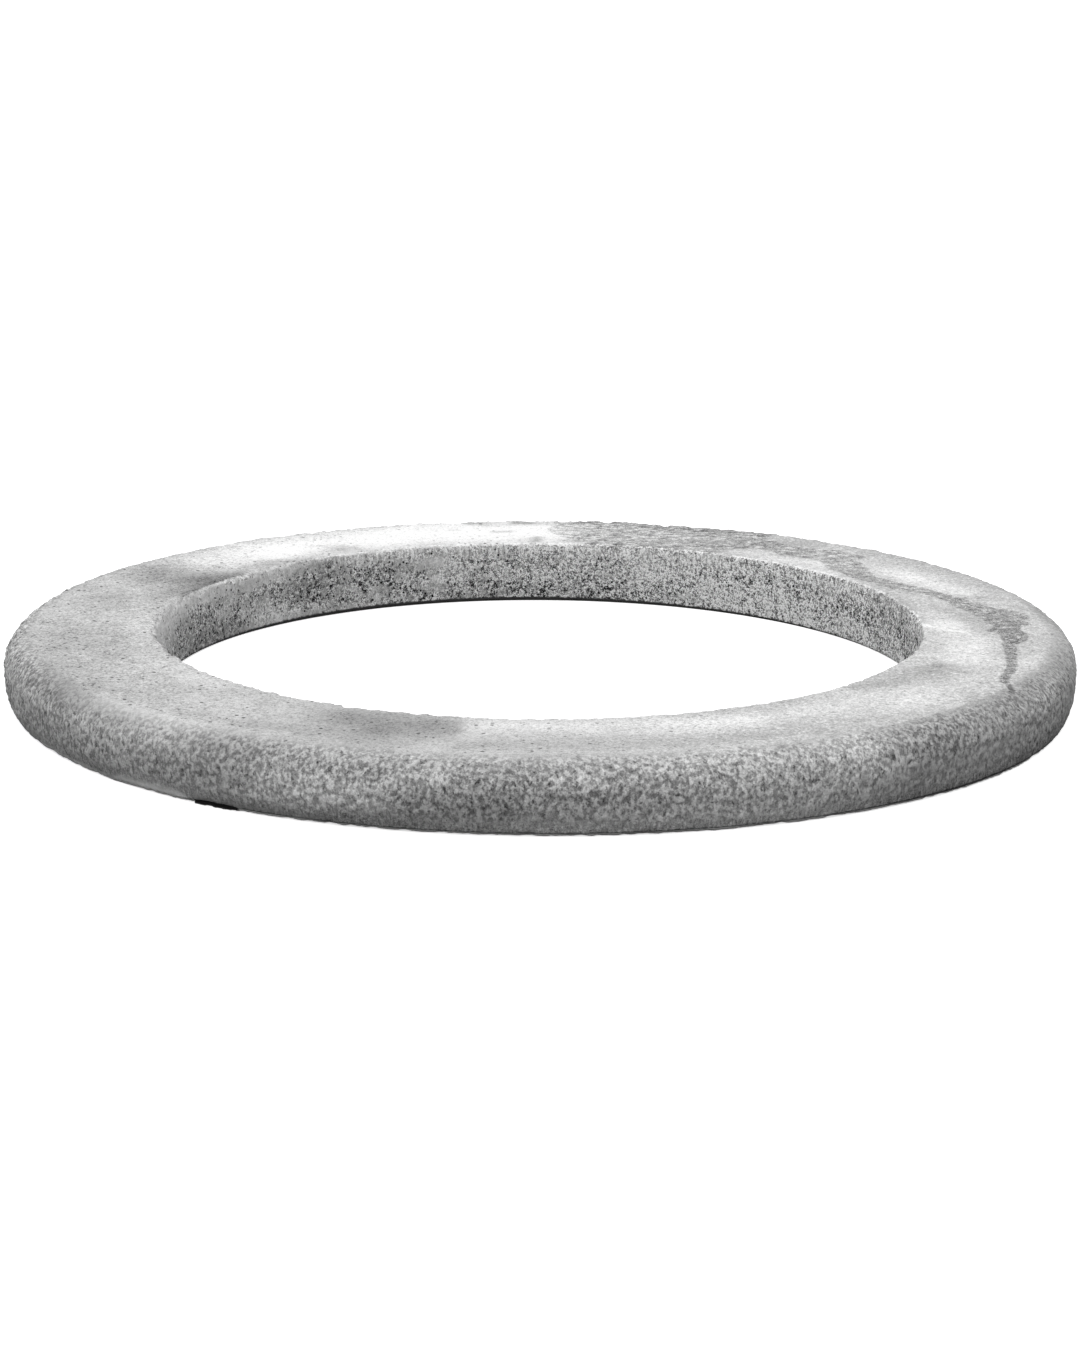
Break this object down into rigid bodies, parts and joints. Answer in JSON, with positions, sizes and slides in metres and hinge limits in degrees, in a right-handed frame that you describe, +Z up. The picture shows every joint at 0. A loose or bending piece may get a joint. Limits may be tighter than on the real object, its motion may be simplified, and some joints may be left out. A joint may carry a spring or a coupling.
{
  "type": "concrete culvert ring",
  "caption": "Flat round precast concrete ring with a wide bore, a flat top rounded over at its outer edge, mottled sides and a small spall in the edge of its base.",
  "frame": {"origin": "centre of the base, on the bore's axis, at the level ground that the ring lies on", "axes": "+Z up along the bore; +X and +Y lie in the base, and a viewer at -Y sees the spall at the front left"},
  "size_m": [1.05, 1.05, 0.065],
  "materials": {
    "concrete": "matt, cast, mottled by weather"
  },
  "bodies": {
    "root": {"culvert_ring": "concrete"}
  },
  "joints": []
}
